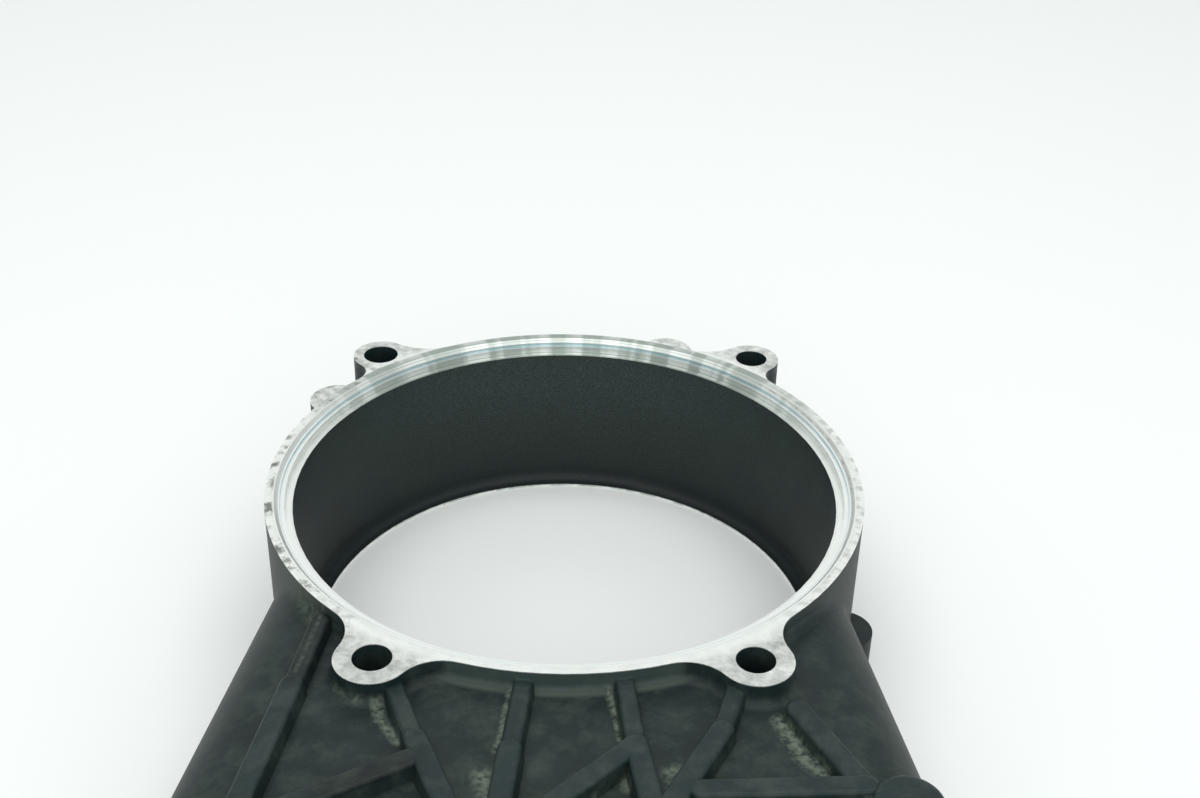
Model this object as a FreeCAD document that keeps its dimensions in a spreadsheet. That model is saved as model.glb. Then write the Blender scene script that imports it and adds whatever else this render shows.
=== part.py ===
import FreeCAD, Part
import math
import os
import Sketcher

# Inner primary cover of a motorcycle, cast in aluminium.
# The frame: millimetres, the origin at the centre of the register bore's mouth.
# +Z points out of the machined face towards the engine, and +Y away from the transmission end.
# Heights in the sketches count from the machined face, which is seat_depth above the origin.
# The cover lies on its gasket rim, cover_depth below the machined face.

os.makedirs("parts", exist_ok=True)
doc = FreeCAD.newDocument("inner_primary_cover")
sheet = doc.addObject("Spreadsheet::Sheet", "Sizes")
vector = FreeCAD.Vector
sizes = {
    # Register ring that fits over the engine's alternator boss
    "cover_depth": 55.0,
    "ring_outer_radius": 87.8,
    "bore_radius": 80.0,
    "seat_radius": 82.15,
    "seat_depth": 3.9,
    "ledge_radius": 83.5,
    "ledge_depth": 1.85,
    "lead_in_foot_radius": 84.0,
    "lead_in_depth": 1.15,
    "lead_in_radius": 85.1,
    "ring_skirt_depth": 17.0,
    # Four lugs that bolt the ring to the engine
    "lug_reach": 7.45,
    "rear_lug_angle": 40.65,
    "front_lug_angle": 30.5,
    "lug_hole_radius": 5.15,
    "dowel_hole_radius": 5.65,
    "dowel_hole_depth": 8.0,
    "rear_lug_radius": 9.0,
    "front_lug_radius": 10.0,
    "rear_lug_soft_blend": 17.0,
    "rear_lug_tight_blend": 6.5,
    "front_lug_blend": 12.0,
    "lug_height": 22.0,
    # Body of the cover between the ring and the transmission end
    "mainshaft_distance": 243.0,
    "mainshaft_offset": 4.0,
    "end_radius": 112.0,
    "left_flank_inset": 10.49,
    "right_flank_inset": 12.11,
    "floor_drop": 6.0,
    "web_thickness": 5.0,
    "shoulder_radius": 22.0,
    "wall_thickness": 7.5,
    "inner_corner_radius": 15.0,
    "junction_radius": 14.0,
    "body_overlap": 3.6,
    # Gasket rim and its tapped screw bosses
    "lip_width": 3.7,
    "lip_land": 1.2,
    "lip_fillet": 3.4,
    "screw_boss_radius": 8.8,
    "screw_boss_height": 14.0,
    "screw_boss_inset": 1.9,
    "screw_hole_radius": 2.55,
    "screw_hole_depth": 12.0,
    "pad_drop": 1.2,
    "left_pad_angle": 148.2,
    "right_pad_angle": 66.9,
    "ear_angle": -13.2,
    "left_flank_boss_first": 75.0,
    "left_flank_boss_second": 150.0,
    "right_flank_boss_first": 88.0,
    "right_flank_boss_second": 160.0,
    "end_boss_angle": 205.0,
    "end_boss_step": 43.0,
    "end_boss_count": 4,
    # Ribs on the floor: their section, then the points that they join
    "rib_width": 7.8,
    "low_rib_width": 6.6,
    "rib_drop": 1.2,
    "rib_step": 1.0,
    "rib_draft": 9.0,
    "rib_top_round": 1.2,
    "rib_sink": 2.0,
    "foot_radius": 2.5,
    "left_crest_x": -64.0,
    "left_crest_y": -64.0,
    "left_crest_knee_x": -67.5,
    "left_crest_knee_y": -89.7,
    "left_crest_end_x": -79.0,
    "left_crest_end_y": -165.0,
    "left_lug_root_x": -42.5,
    "left_lug_root_y": -89.0,
    "left_lug_knee_x": -35.5,
    "left_lug_knee_y": -108.5,
    "left_cross_start_x": -36.5,
    "left_cross_start_y": -115.5,
    "left_cross_end_x": -74.0,
    "left_cross_end_y": -137.0,
    "ring_left_root_x": -10.0,
    "ring_left_root_y": -85.5,
    "ring_left_knee_x": -12.8,
    "ring_left_knee_y": -112.0,
    "ring_left_end_x": -22.6,
    "ring_left_end_y": -206.0,
    "ring_right_root_x": 15.0,
    "ring_right_root_y": -85.0,
    "ring_right_knee_x": 17.2,
    "ring_right_knee_y": -110.0,
    "ring_right_bend_x": 20.0,
    "ring_right_bend_y": -129.0,
    "ring_right_end_x": 28.0,
    "ring_right_end_y": -219.0,
    "middle_cross_end_x": -15.5,
    "middle_cross_end_y": -142.0,
    "lattice_end_x": -5.0,
    "lattice_end_y": -183.0,
    "right_lug_root_x": 43.0,
    "right_lug_root_y": -89.0,
    "right_lug_knee_x": 38.0,
    "right_lug_knee_y": -105.0,
    "right_cross_start_x": 31.5,
    "right_cross_start_y": -125.0,
    "right_cross_end_x": 70.0,
    "right_cross_end_y": -123.5,
    "right_crest_x": 57.5,
    "right_crest_y": -97.0,
    "right_crest_end_x": 72.0,
    "right_crest_end_y": -127.0,
    # Round boss on the right shoulder
    "stud_boss_radius": 8.8,
    "stud_boss_x": 79.0,
    "stud_boss_y": -128.5,
    "stud_boss_drop": 1.5,
    "stud_boss_height": 12.8,
    "stud_boss_round": 2.0,
    # Mainshaft bearing, its seat and its oil seal
    "bearing_width": 16.0,
    "bearing_pitch_radius": 23.0,
    "ball_radius": 4.7,
    "ball_count": 9,
    "race_radius": 4.9,
    "bearing_half_section": 8.0,
    "race_offset": 3.5,
    "bearing_chamfer": 1.0,
    "cage_thickness": 2.2,
    "cage_width": 13.0,
    "cage_pocket_radius": 4.95,
    "bearing_boss_wall": 9.0,
    "bearing_boss_drop": 1.0,
    "bearing_boss_depth": 33.0,
    "bearing_seat_gap": 0.03,
    "seal_outer_radius": 26.0,
    "seal_width": 8.0,
    "seal_sink": 0.5,
    "seal_case_thickness": 1.0,
    "seal_case_reach": 5.0,
    "seal_lip_radius": 17.0,
    "seal_web_thickness": 3.0,
    "seal_spring_radius": 1.0,
    "seal_spring_gap": 0.1,
    "seat_shoulder_radius": 24.0,
    "seat_shoulder_length": 4.0,
    "clip_thickness": 1.7,
    "clip_width": 4.4,
    "clip_groove_depth": 1.6,
    "clip_clearance": 0.1,
    "clip_gap_angle": 22.0,
    "clip_eye_radius": 1.1,
    # Transmission bolts and starter shaft
    "gearbox_bolt_radius": 62.0,
    "gearbox_boss_radius": 10.0,
    "gearbox_hole_radius": 4.2,
    "gearbox_bolt_count": 4,
    "starter_x": 58.0,
    "starter_y": -196.0,
    "starter_boss_radius": 18.0,
    "starter_boss_drop": 1.0,
    "starter_boss_depth": 31.0,
    "bushing_outer_radius": 11.0,
    "bushing_bore_radius": 9.5,
    "bushing_length": 22.0,
    "bushing_sink": 4.0,
    "overcut": 1.0,
}
for row, (name, number) in enumerate(sizes.items(), 1):
    sheet.set("A" + str(row), name)
    sheet.set("B" + str(row), str(number))
    sheet.setAlias("B" + str(row), name)

# Sizes worked out from the ones above: the bolt circle, and the lean of each flank of the body,
# which runs from the round end to a line inset from the ring's edge
derived = {
    "bolt_circle_radius": "=ring_outer_radius + lug_reach",
    "axis_distance": "=sqrt(mainshaft_distance ^ 2 + mainshaft_offset ^ 2)",
    "axis_lean": "=atan(mainshaft_offset / mainshaft_distance)",
    "left_rise": "=end_radius - ring_outer_radius + left_flank_inset",
    "right_rise": "=end_radius - ring_outer_radius + right_flank_inset",
    "left_flank_angle": "=(asin(left_rise / axis_distance) + axis_lean) / 1 deg",
    "right_flank_angle": "=(asin(right_rise / axis_distance) - axis_lean) / 1 deg",
}
for row, (name, formula) in enumerate(derived.items(), len(sizes) + 1):
    sheet.set("A" + str(row), name)
    sheet.set("B" + str(row), formula)
    sheet.setAlias("B" + str(row), name)
    doc.recompute()


def mm(name):
    return float(sheet.get(name))


def amount(terms):
    # the sum of named sizes, such as "ring_outer_radius -body_overlap"
    total = 0.0
    for term in terms.split():
        sign = -1 if term.startswith("-") else 1
        total = total + sign * mm(term.lstrip("-"))
    return total


def text_of(terms):
    # the same sum as an expression on the sheet
    text = "0"
    for term in terms.split():
        sign = " - " if term.startswith("-") else " + "
        text = text + sign + "Sizes." + term.lstrip("-")
    return text


def plane_of(body, role):
    for feature in body.Origin.OriginFeatures:
        if feature.Role == role:
            return feature


def new_body(name):
    body = doc.addObject("PartDesign::Body", name)
    body.Label = name
    return body


def new_sketch(body, name, height="0", role="XY_Plane"):
    # a sketch on the body's own plane, at a height given as an expression
    sketch = body.newObject("Sketcher::SketchObject", name)
    sketch.AttachmentSupport = [(plane_of(body, role), "")]
    sketch.MapMode = "FlatFace"
    sketch.setExpression(".AttachmentOffset.Base.z", height)
    return sketch


def pad(body, name, sketch, length, taper="0"):
    # adds material above the sketch
    feature = body.newObject("PartDesign::Pad", name)
    feature.Profile = sketch
    feature.setExpression("Length", length)
    feature.setExpression("TaperAngle", taper)
    sketch.Visibility = False
    return feature


def pocket(body, name, sketch, length):
    # removes material below the sketch
    feature = body.newObject("PartDesign::Pocket", name)
    feature.Profile = sketch
    feature.setExpression("Length", length)
    sketch.Visibility = False
    return feature


def turned(body, name, sketch, kind):
    # a full turn about the sketch's upright axis
    feature = body.newObject("PartDesign::" + kind, name)
    feature.Profile = sketch
    feature.ReferenceAxis = (sketch, ["V_Axis"])
    feature.Angle = 360.0
    sketch.Visibility = False
    return feature


def rounded(body, name, base, edges, radius):
    # rounds the named edges of the feature before it
    feature = body.newObject("PartDesign::Fillet", name)
    feature.Base = (base, edges)
    feature.setExpression("Radius", radius)
    return feature


def edges_at(feature, height, test):
    # names of the edges that lie flat at a height and pass the test on their middle point
    doc.recompute()
    names = []
    for number, edge in enumerate(feature.Shape.Edges, 1):
        box = edge.BoundBox
        middle = edge.valueAt((edge.FirstParameter + edge.LastParameter) / 2)
        flat = abs(box.ZMin - height) < 0.01 and abs(box.ZMax - height) < 0.01
        if flat and test(middle):
            names.append("Edge" + str(number))
    return names


def circle_on(sketch, x, y, radius, x_text, y_text, radius_text):
    # a circle whose centre and radius follow the sheet
    index = sketch.addGeometry(Part.Circle(vector(x, y, 0), vector(0, 0, 1), radius), False)
    sketch.addConstraint(Sketcher.Constraint("Radius", index, radius))
    sketch.setExpression("Constraints[" + str(sketch.ConstraintCount - 1) + "]", radius_text)
    if x_text == "0" and y_text == "0":
        sketch.addConstraint(Sketcher.Constraint("Coincident", index, 3, -1, 1))
        return index
    sketch.addConstraint(Sketcher.Constraint("DistanceX", -1, 1, index, 3, x))
    sketch.setExpression("Constraints[" + str(sketch.ConstraintCount - 1) + "]", x_text)
    sketch.addConstraint(Sketcher.Constraint("DistanceY", -1, 1, index, 3, y))
    sketch.setExpression("Constraints[" + str(sketch.ConstraintCount - 1) + "]", y_text)
    return index


# Cover casting: the outline of its body


def flank(side, inset):
    # foot of a flank on the end circle and the direction from there up to the ring
    lean = math.radians(mm("left_flank_angle") if side < 0 else mm("right_flank_angle"))
    reach = mm("end_radius") - inset
    foot_x = -mm("mainshaft_offset") + side * reach * math.cos(lean)
    foot_y = -mm("mainshaft_distance") + reach * math.sin(lean)
    return vector(foot_x, foot_y, 0), vector(-side * math.sin(lean), math.cos(lean), 0)


def up_to_circle(foot, direction, radius):
    # first point of the line from foot along direction that lies on the circle about the ring
    along = foot.dot(direction)
    rest = foot.dot(foot) - radius * radius
    return foot + direction * (-along - math.sqrt(along * along - rest))


def bearing_angle(point):
    return math.atan2(point.y, point.x)


casting = new_body("cover_casting")
main_axis = vector(-mm("mainshaft_offset"), -mm("mainshaft_distance"), 0)
upright = vector(0, 0, 1)


def pin_end_arc(sketch, arc, radius, radius_text):
    # keeps the end arc on the mainshaft axis
    sketch.addConstraint(Sketcher.Constraint("DistanceX", arc, 3, -1, 1, -main_axis.x))
    sketch.setExpression("Constraints[" + str(sketch.ConstraintCount - 1) + "]", "Sizes.mainshaft_offset")
    sketch.addConstraint(Sketcher.Constraint("DistanceY", arc, 3, -1, 1, -main_axis.y))
    sketch.setExpression("Constraints[" + str(sketch.ConstraintCount - 1) + "]", "Sizes.mainshaft_distance")
    sketch.addConstraint(Sketcher.Constraint("Radius", arc, radius))
    sketch.setExpression("Constraints[" + str(sketch.ConstraintCount - 1) + "]", radius_text)


def body_outline(sketch):
    # two flanks, the round end and an arc that is buried in the ring
    near = mm("ring_outer_radius") - mm("body_overlap")
    left_foot, left_up = flank(-1, 0)
    right_foot, right_up = flank(1, 0)
    left_top = up_to_circle(left_foot, left_up, near)
    right_top = up_to_circle(right_foot, right_up, near)
    turn = 2 * math.pi
    end = Part.Circle(main_axis, upright, mm("end_radius"))
    start_angle = bearing_angle(left_foot - main_axis)
    end_angle = bearing_angle(right_foot - main_axis) + turn
    ring = Part.Circle(vector(0, 0, 0), upright, near)
    sketch.addGeometry(Part.LineSegment(left_foot, left_top), False)
    sketch.addGeometry(Part.ArcOfCircle(end, start_angle, end_angle), False)
    sketch.addGeometry(Part.LineSegment(right_foot, right_top), False)
    ring_start = bearing_angle(left_top) + turn
    ring_end = bearing_angle(right_top) + turn
    sketch.addGeometry(Part.ArcOfCircle(ring, ring_start, ring_end), False)
    sketch.addConstraint(Sketcher.Constraint("Tangent", 0, 1, 1, 1))
    sketch.addConstraint(Sketcher.Constraint("Tangent", 1, 2, 2, 1))
    sketch.addConstraint(Sketcher.Constraint("Coincident", 2, 2, 3, 2))
    sketch.addConstraint(Sketcher.Constraint("Coincident", 0, 2, 3, 1))
    sketch.addConstraint(Sketcher.Constraint("Coincident", 3, 3, -1, 1))
    sketch.addConstraint(Sketcher.Constraint("Radius", 3, near))
    sketch.setExpression("Constraints[5]", "Sizes.ring_outer_radius - Sizes.body_overlap")
    sketch.addConstraint(Sketcher.Constraint("Angle", 0, math.radians(90 - mm("left_flank_angle"))))
    sketch.setExpression("Constraints[6]", "90 - Sizes.left_flank_angle")
    sketch.addConstraint(Sketcher.Constraint("Angle", 2, math.radians(90 + mm("right_flank_angle"))))
    sketch.setExpression("Constraints[7]", "90 + Sizes.right_flank_angle")
    pin_end_arc(sketch, 1, mm("end_radius"), "Sizes.end_radius")


def cavity_outline(sketch, inset, inset_text):
    # the inner wall all round: ring arc, two blends, two flanks and the round end
    wall = mm("wall_thickness")
    blend = mm("junction_radius")
    turn = 2 * math.pi
    far = Part.Circle(vector(0, 0, 0), upright, mm("bore_radius") - inset)
    end = Part.Circle(main_axis, upright, mm("end_radius") - wall - inset)
    tops = {}
    centres = {}
    feet = {}
    for side in (-1, 1):
        foot, up = flank(side, wall + inset)
        out = vector(side * up.y, -side * up.x, 0)
        shifted = foot + out * (blend + inset)
        centre = up_to_circle(shifted, up, mm("bore_radius") + blend)
        tops[side] = centre - out * (blend + inset)
        centres[side] = centre
        feet[side] = foot
    left_angle = bearing_angle(centres[-1]) + turn
    right_angle = bearing_angle(centres[1])
    sketch.addGeometry(Part.ArcOfCircle(far, right_angle, left_angle), False)
    left_blend = Part.Circle(centres[-1], upright, blend + inset)
    left_start = bearing_angle(tops[-1] - centres[-1])
    left_end = bearing_angle(-centres[-1])
    sketch.addGeometry(Part.ArcOfCircle(left_blend, left_start, left_end), False)
    sketch.addGeometry(Part.LineSegment(feet[-1], tops[-1]), False)
    start_angle = bearing_angle(feet[-1] - main_axis)
    end_angle = bearing_angle(feet[1] - main_axis) + turn
    sketch.addGeometry(Part.ArcOfCircle(end, start_angle, end_angle), False)
    sketch.addGeometry(Part.LineSegment(feet[1], tops[1]), False)
    right_blend = Part.Circle(centres[1], upright, blend + inset)
    right_start = bearing_angle(-centres[1])
    right_end = bearing_angle(tops[1] - centres[1]) + turn
    sketch.addGeometry(Part.ArcOfCircle(right_blend, right_start, right_end), False)
    sketch.addConstraint(Sketcher.Constraint("Coincident", 0, 3, -1, 1))
    sketch.addConstraint(Sketcher.Constraint("Tangent", 0, 2, 1, 2))
    sketch.addConstraint(Sketcher.Constraint("Tangent", 1, 1, 2, 2))
    sketch.addConstraint(Sketcher.Constraint("Tangent", 2, 1, 3, 1))
    sketch.addConstraint(Sketcher.Constraint("Tangent", 3, 2, 4, 1))
    sketch.addConstraint(Sketcher.Constraint("Tangent", 4, 2, 5, 2))
    sketch.addConstraint(Sketcher.Constraint("Tangent", 5, 1, 0, 1))
    sketch.addConstraint(Sketcher.Constraint("Radius", 0, mm("bore_radius") - inset))
    sketch.setExpression("Constraints[7]", "Sizes.bore_radius - " + inset_text)
    sketch.addConstraint(Sketcher.Constraint("Radius", 1, blend + inset))
    sketch.setExpression("Constraints[8]", "Sizes.junction_radius + " + inset_text)
    sketch.addConstraint(Sketcher.Constraint("Radius", 5, blend + inset))
    sketch.setExpression("Constraints[9]", "Sizes.junction_radius + " + inset_text)
    sketch.addConstraint(Sketcher.Constraint("Angle", 2, math.radians(90 - mm("left_flank_angle"))))
    sketch.setExpression("Constraints[10]", "90 - Sizes.left_flank_angle")
    sketch.addConstraint(Sketcher.Constraint("Angle", 4, math.radians(90 + mm("right_flank_angle"))))
    sketch.setExpression("Constraints[11]", "90 + Sizes.right_flank_angle")
    radius_text = "Sizes.end_radius - Sizes.wall_thickness - " + inset_text
    pin_end_arc(sketch, 3, mm("end_radius") - wall - inset, radius_text)


def placed_circle(sketch, name, radius_name):
    # a circle about a named point
    circle_on(
        sketch, mm(name + "_x"), mm(name + "_y"), mm(radius_name),
        "Sizes." + name + "_x", "Sizes." + name + "_y", "Sizes." + radius_name,
    )


def polar_circle(sketch, centre, reach, reach_text, angle, angle_text, radius_name):
    # a circle at a reach and an angle from the ring's or the mainshaft's axis
    x_text = "(" + reach_text + ") * cos((" + angle_text + ") * 1 deg)"
    y_text = "(" + reach_text + ") * sin((" + angle_text + ") * 1 deg)"
    if centre.Length > 0:
        x_text = "-Sizes.mainshaft_offset + " + x_text
        y_text = "-Sizes.mainshaft_distance + " + y_text
    turn = math.radians(angle)
    x = centre.x + reach * math.cos(turn)
    y = centre.y + reach * math.sin(turn)
    circle_on(sketch, x, y, mm(radius_name), x_text, y_text, "Sizes." + radius_name)


def flank_circle(sketch, side, distance_name, radius_name):
    # a circle on a flank, at a distance from the ring's axis towards the transmission
    lean_name = "left_flank_angle" if side < 0 else "right_flank_angle"
    foot, up = flank(side, mm("screw_boss_inset"))
    y = -mm(distance_name)
    x = foot.x + up.x * (y - foot.y) / up.y
    sign = "-" if side < 0 else "+"
    reach_text = "(Sizes.end_radius - Sizes.screw_boss_inset)"
    lean_text = "(Sizes." + lean_name + " * 1 deg)"
    drop_text = "(Sizes.mainshaft_distance - Sizes." + distance_name + ")"
    x_text = "-Sizes.mainshaft_offset " + sign + " (" + reach_text + " / cos" + lean_text
    x_text = x_text + " - " + drop_text + " * tan" + lean_text + ")"
    circle_on(sketch, x, y, mm(radius_name), x_text, "-Sizes." + distance_name, "Sizes." + radius_name)


def rim_circles(sketch, radius_name):
    # one circle for each screw of the gasket rim, on the ring, the flanks and the round end
    ring_reach = mm("ring_outer_radius") - mm("screw_boss_inset")
    ring_text = "Sizes.ring_outer_radius - Sizes.screw_boss_inset"
    for name in ("left_pad_angle", "right_pad_angle", "ear_angle"):
        polar_circle(sketch, vector(0, 0, 0), ring_reach, ring_text, mm(name), "Sizes." + name, radius_name)
    flank_circle(sketch, -1, "left_flank_boss_first", radius_name)
    flank_circle(sketch, -1, "left_flank_boss_second", radius_name)
    flank_circle(sketch, 1, "right_flank_boss_first", radius_name)
    flank_circle(sketch, 1, "right_flank_boss_second", radius_name)
    end_reach = mm("end_radius") - mm("screw_boss_inset")
    end_text = "Sizes.end_radius - Sizes.screw_boss_inset"
    for number in range(int(mm("end_boss_count"))):
        angle = mm("end_boss_angle") + number * mm("end_boss_step")
        angle_text = "Sizes.end_boss_angle + " + str(number) + " * Sizes.end_boss_step"
        polar_circle(sketch, main_axis, end_reach, end_text, angle, angle_text, radius_name)


# Cover casting: the body block, the register ring and the screw bosses, all on the gasket plane
outline = new_sketch(casting, "body_outline", "-Sizes.cover_depth")
body_outline(outline)
block = pad(casting, "body_block", outline, "Sizes.cover_depth - Sizes.floor_drop")
ring_sketch = new_sketch(casting, "ring_disc", "-Sizes.cover_depth")
circle_on(ring_sketch, 0, 0, mm("ring_outer_radius"), "0", "0", "Sizes.ring_outer_radius")
ring = pad(casting, "ring_wall", ring_sketch, "Sizes.cover_depth")
boss_sketch = new_sketch(casting, "screw_boss_circles", "-Sizes.cover_depth")
rim_circles(boss_sketch, "screw_boss_radius")
bosses = pad(casting, "screw_bosses", boss_sketch, "Sizes.screw_boss_height")
pad_sketch = new_sketch(casting, "pad_circles", "-Sizes.cover_depth")
pad_reach = mm("ring_outer_radius") - mm("screw_boss_inset")
pad_reach_text = "Sizes.ring_outer_radius - Sizes.screw_boss_inset"
for name in ("left_pad_angle", "right_pad_angle"):
    polar_circle(
        pad_sketch, vector(0, 0, 0), pad_reach, pad_reach_text,
        mm(name), "Sizes." + name, "screw_boss_radius",
    )
pads = pad(casting, "ring_pads", pad_sketch, "Sizes.cover_depth - Sizes.pad_drop")

# Cover casting: the chain cavity, open at the gasket rim
cavity_sketch = new_sketch(casting, "cavity_outline", "-Sizes.floor_drop - Sizes.web_thickness")
cavity_outline(cavity_sketch, 0, "0")
cavity_length = "Sizes.cover_depth - Sizes.floor_drop - Sizes.web_thickness - Sizes.lip_land"
cavity = pocket(casting, "chain_cavity", cavity_sketch, cavity_length)
rim_sketch = new_sketch(casting, "rim_opening", "-Sizes.cover_depth + Sizes.lip_land")
cavity_outline(rim_sketch, mm("lip_width"), "Sizes.lip_width")
rim = pocket(casting, "rim_mouth", rim_sketch, "Sizes.lip_land")
lip_top = -mm("cover_depth") + mm("lip_land")


def on_cavity_wall(point):
    # true on the cavity's wall, which lies outside the rim's mouth
    flat_point = Part.Vertex(vector(point.x, point.y, cavity_sketch.Placement.Base.z))
    return cavity_sketch.Shape.distToShape(flat_point)[0] < 0.01


lip_edges = edges_at(rim, lip_top, on_cavity_wall)
lip = rounded(casting, "lip_rounding", rim, lip_edges, "Sizes.lip_fillet")
ceiling = -mm("floor_drop") - mm("web_thickness")
corner_edges = edges_at(lip, ceiling, on_cavity_wall)
corner = rounded(casting, "cavity_corner", lip, corner_edges, "Sizes.inner_corner_radius")
floor = -mm("floor_drop")


def beyond_ring(point):
    return math.hypot(point.x, point.y) > mm("ring_outer_radius") + 1


shoulder_edges = edges_at(corner, floor, beyond_ring)
shoulder = rounded(casting, "shoulder", corner, shoulder_edges, "Sizes.shoulder_radius")

# Cover casting: the bore of the ring and the skirt that stiffens it inside the cavity
bore_sketch = new_sketch(casting, "bore_circle")
circle_on(bore_sketch, 0, 0, mm("bore_radius"), "0", "0", "Sizes.bore_radius")
bore_length = "Sizes.floor_drop + Sizes.web_thickness + Sizes.inner_corner_radius + 1"
bore = pocket(casting, "ring_bore", bore_sketch, bore_length)
skirt_sketch = new_sketch(casting, "skirt_circles", "-Sizes.ring_skirt_depth")
circle_on(skirt_sketch, 0, 0, mm("ring_outer_radius"), "0", "0", "Sizes.ring_outer_radius")
circle_on(skirt_sketch, 0, 0, mm("bore_radius"), "0", "0", "Sizes.bore_radius")
skirt = pad(casting, "ring_skirt", skirt_sketch, "Sizes.ring_skirt_depth - Sizes.floor_drop")


def tangent_blend(centre, radius, blend, side):
    # where a hollow blend touches the ring and a lug: its centre and its two tangent points
    ring_radius = mm("ring_outer_radius")
    reach = centre.Length
    far = ring_radius + blend
    near = radius + blend
    swing = math.acos((far * far + reach * reach - near * near) / (2 * far * reach))
    angle = bearing_angle(centre) + side * swing
    middle = vector(far * math.cos(angle), far * math.sin(angle), 0)
    on_ring = vector(ring_radius * math.cos(angle), ring_radius * math.sin(angle), 0)
    on_lug = centre + (middle - centre) * (radius / near)
    return middle, on_ring, on_lug


def arc_through(centre, radius, start, end):
    # the anticlockwise arc between two points of a circle
    start_angle = bearing_angle(start - centre)
    end_angle = bearing_angle(end - centre)
    while end_angle < start_angle:
        end_angle = end_angle + 2 * math.pi
    return Part.ArcOfCircle(Part.Circle(centre, upright, radius), start_angle, end_angle)


def lug_outline(sketch, angle, angle_text, radius_name, after_name, before_name):
    # a lug with a hollow blend to the ring on each side; after is anticlockwise of the lug
    turn = math.radians(angle)
    reach = mm("bolt_circle_radius")
    centre = vector(reach * math.cos(turn), reach * math.sin(turn), 0)
    radius = mm(radius_name)
    after = mm(after_name)
    before = mm(before_name)
    after_centre, after_ring, after_lug = tangent_blend(centre, radius, after, 1)
    before_centre, before_ring, before_lug = tangent_blend(centre, radius, before, -1)
    inside = (mm("ring_outer_radius") - mm("body_overlap")) / mm("ring_outer_radius")
    sketch.addGeometry(arc_through(centre, radius, before_lug, after_lug), False)
    sketch.addGeometry(arc_through(after_centre, after, after_ring, after_lug), False)
    sketch.addGeometry(Part.LineSegment(after_ring, after_ring * inside), False)
    ring_radius = mm("ring_outer_radius") * inside
    inner = arc_through(vector(0, 0, 0), ring_radius, before_ring * inside, after_ring * inside)
    sketch.addGeometry(inner, False)
    sketch.addGeometry(Part.LineSegment(before_ring * inside, before_ring), False)
    sketch.addGeometry(arc_through(before_centre, before, before_lug, before_ring), False)
    sketch.addConstraint(Sketcher.Constraint("Tangent", 0, 2, 1, 2))
    sketch.addConstraint(Sketcher.Constraint("Tangent", 0, 1, 5, 1))
    sketch.addConstraint(Sketcher.Constraint("Coincident", 1, 1, 2, 1))
    sketch.addConstraint(Sketcher.Constraint("Coincident", 2, 2, 3, 2))
    sketch.addConstraint(Sketcher.Constraint("Coincident", 3, 1, 4, 1))
    sketch.addConstraint(Sketcher.Constraint("Coincident", 4, 2, 5, 2))
    sketch.addConstraint(Sketcher.Constraint("Coincident", 3, 3, -1, 1))
    sketch.addConstraint(Sketcher.Constraint("Radius", 0, radius))
    sketch.setExpression("Constraints[7]", "Sizes." + radius_name)
    sketch.addConstraint(Sketcher.Constraint("DistanceX", -1, 1, 0, 3, centre.x))
    sketch.setExpression("Constraints[8]", "Sizes.bolt_circle_radius * cos((" + angle_text + ") * 1 deg)")
    sketch.addConstraint(Sketcher.Constraint("DistanceY", -1, 1, 0, 3, centre.y))
    sketch.setExpression("Constraints[9]", "Sizes.bolt_circle_radius * sin((" + angle_text + ") * 1 deg)")
    sketch.addConstraint(Sketcher.Constraint("Radius", 1, after))
    sketch.setExpression("Constraints[10]", "Sizes." + after_name)
    sketch.addConstraint(Sketcher.Constraint("Radius", 5, before))
    sketch.setExpression("Constraints[11]", "Sizes." + before_name)


# Cover casting: four lugs with blends, each a column down from the machined face
LUGS = {
    "rear_left": ("90 + Sizes.rear_lug_angle", 90 + mm("rear_lug_angle")),
    "rear_right": ("90 - Sizes.rear_lug_angle", 90 - mm("rear_lug_angle")),
    "front_left": ("270 - Sizes.front_lug_angle", 270 - mm("front_lug_angle")),
    "front_right": ("270 + Sizes.front_lug_angle", 270 + mm("front_lug_angle")),
}
for name, (angle_text, angle) in LUGS.items():
    lug_sketch = new_sketch(casting, name + "_lug_outline", "-Sizes.lug_height")
    if name == "rear_left":
        after_name = "rear_lug_tight_blend"
        before_name = "rear_lug_soft_blend"
    elif name == "rear_right":
        after_name = "rear_lug_soft_blend"
        before_name = "rear_lug_tight_blend"
    else:
        after_name = "front_lug_blend"
        before_name = "front_lug_blend"
    radius_name = "rear_lug_radius" if name.startswith("rear") else "front_lug_radius"
    lug_outline(lug_sketch, angle, angle_text, radius_name, after_name, before_name)
    lug = pad(casting, name + "_lug", lug_sketch, "Sizes.lug_height")


def at_ring_foot(point):
    return math.hypot(point.x, point.y) < mm("bolt_circle_radius") + mm("front_lug_radius") + 1


foot_edges = edges_at(lug, floor, at_ring_foot)
foot = rounded(casting, "ring_foot", lug, foot_edges, "Sizes.foot_radius")


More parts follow.
